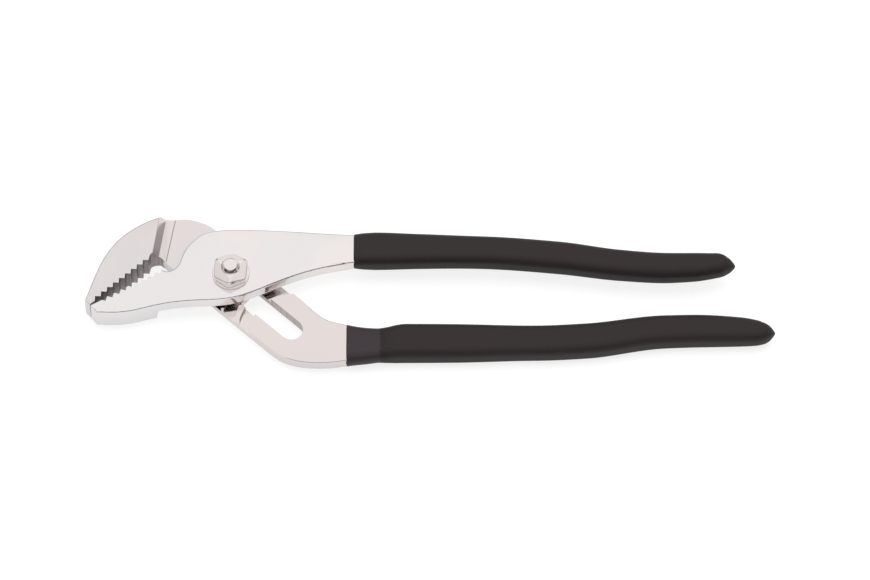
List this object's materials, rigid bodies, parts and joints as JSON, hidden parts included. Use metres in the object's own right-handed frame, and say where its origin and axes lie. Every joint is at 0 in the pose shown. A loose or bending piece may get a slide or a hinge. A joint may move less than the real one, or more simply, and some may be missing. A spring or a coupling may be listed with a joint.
{
  "type": "tongue and groove pliers",
  "caption": "Chrome-plated tongue and groove pliers with angled serrated jaws, a slotted adjustable pivot and long dipped vinyl grips.",
  "frame": {"origin": "on the pivot axis at the flat bottom of the bolt head, which the pliers rest on", "axes": "+Z out of the plates towards the lock nut, +X along the handles away from the jaws"},
  "size_m": [0.2502, 0.0594, 0.0202],
  "materials": {
    "plated_steel": "bright chrome plate on forged steel",
    "plated_fastener": "bright nickel-chrome plate",
    "grip_vinyl": "dipped black vinyl, soft satin"
  },
  "bodies": {
    "rear_handle": {"rear_half": "plated_steel", "rear_grip": "grip_vinyl"},
    "pivot_set": {"pivot_bolt": "plated_fastener", "lock_nut": "plated_fastener"},
    "pivot_washer": {"washer": "plated_fastener"},
    "front_handle": {"front_half": "plated_steel", "front_grip": "grip_vinyl"}
  },
  "joints": [
    {"name": "handle_opening", "type": "hinge", "parent": "pivot_set", "child": "front_handle", "pos_m": [0, 0, 0.0108], "axis": [0, 0, 1], "range_deg": [0, 60]},
    {"name": "closed_angle", "type": "hinge", "parent": "pivot_set", "child": "pivot_washer", "pos_m": [0, 0, 0.0138], "axis": [0, 0, -1], "range_deg": [0, 13.5]},
    {"name": "jaw_setting", "type": "slide", "parent": "pivot_washer", "child": "rear_handle", "axis": [-0.7373, 0.6756, 0], "range_m": [0, 0.03]}
  ],
  "couplings": [
    {"joint": "closed_angle", "follows": "jaw_setting", "rad_per_m": 7.6794}
  ]
}
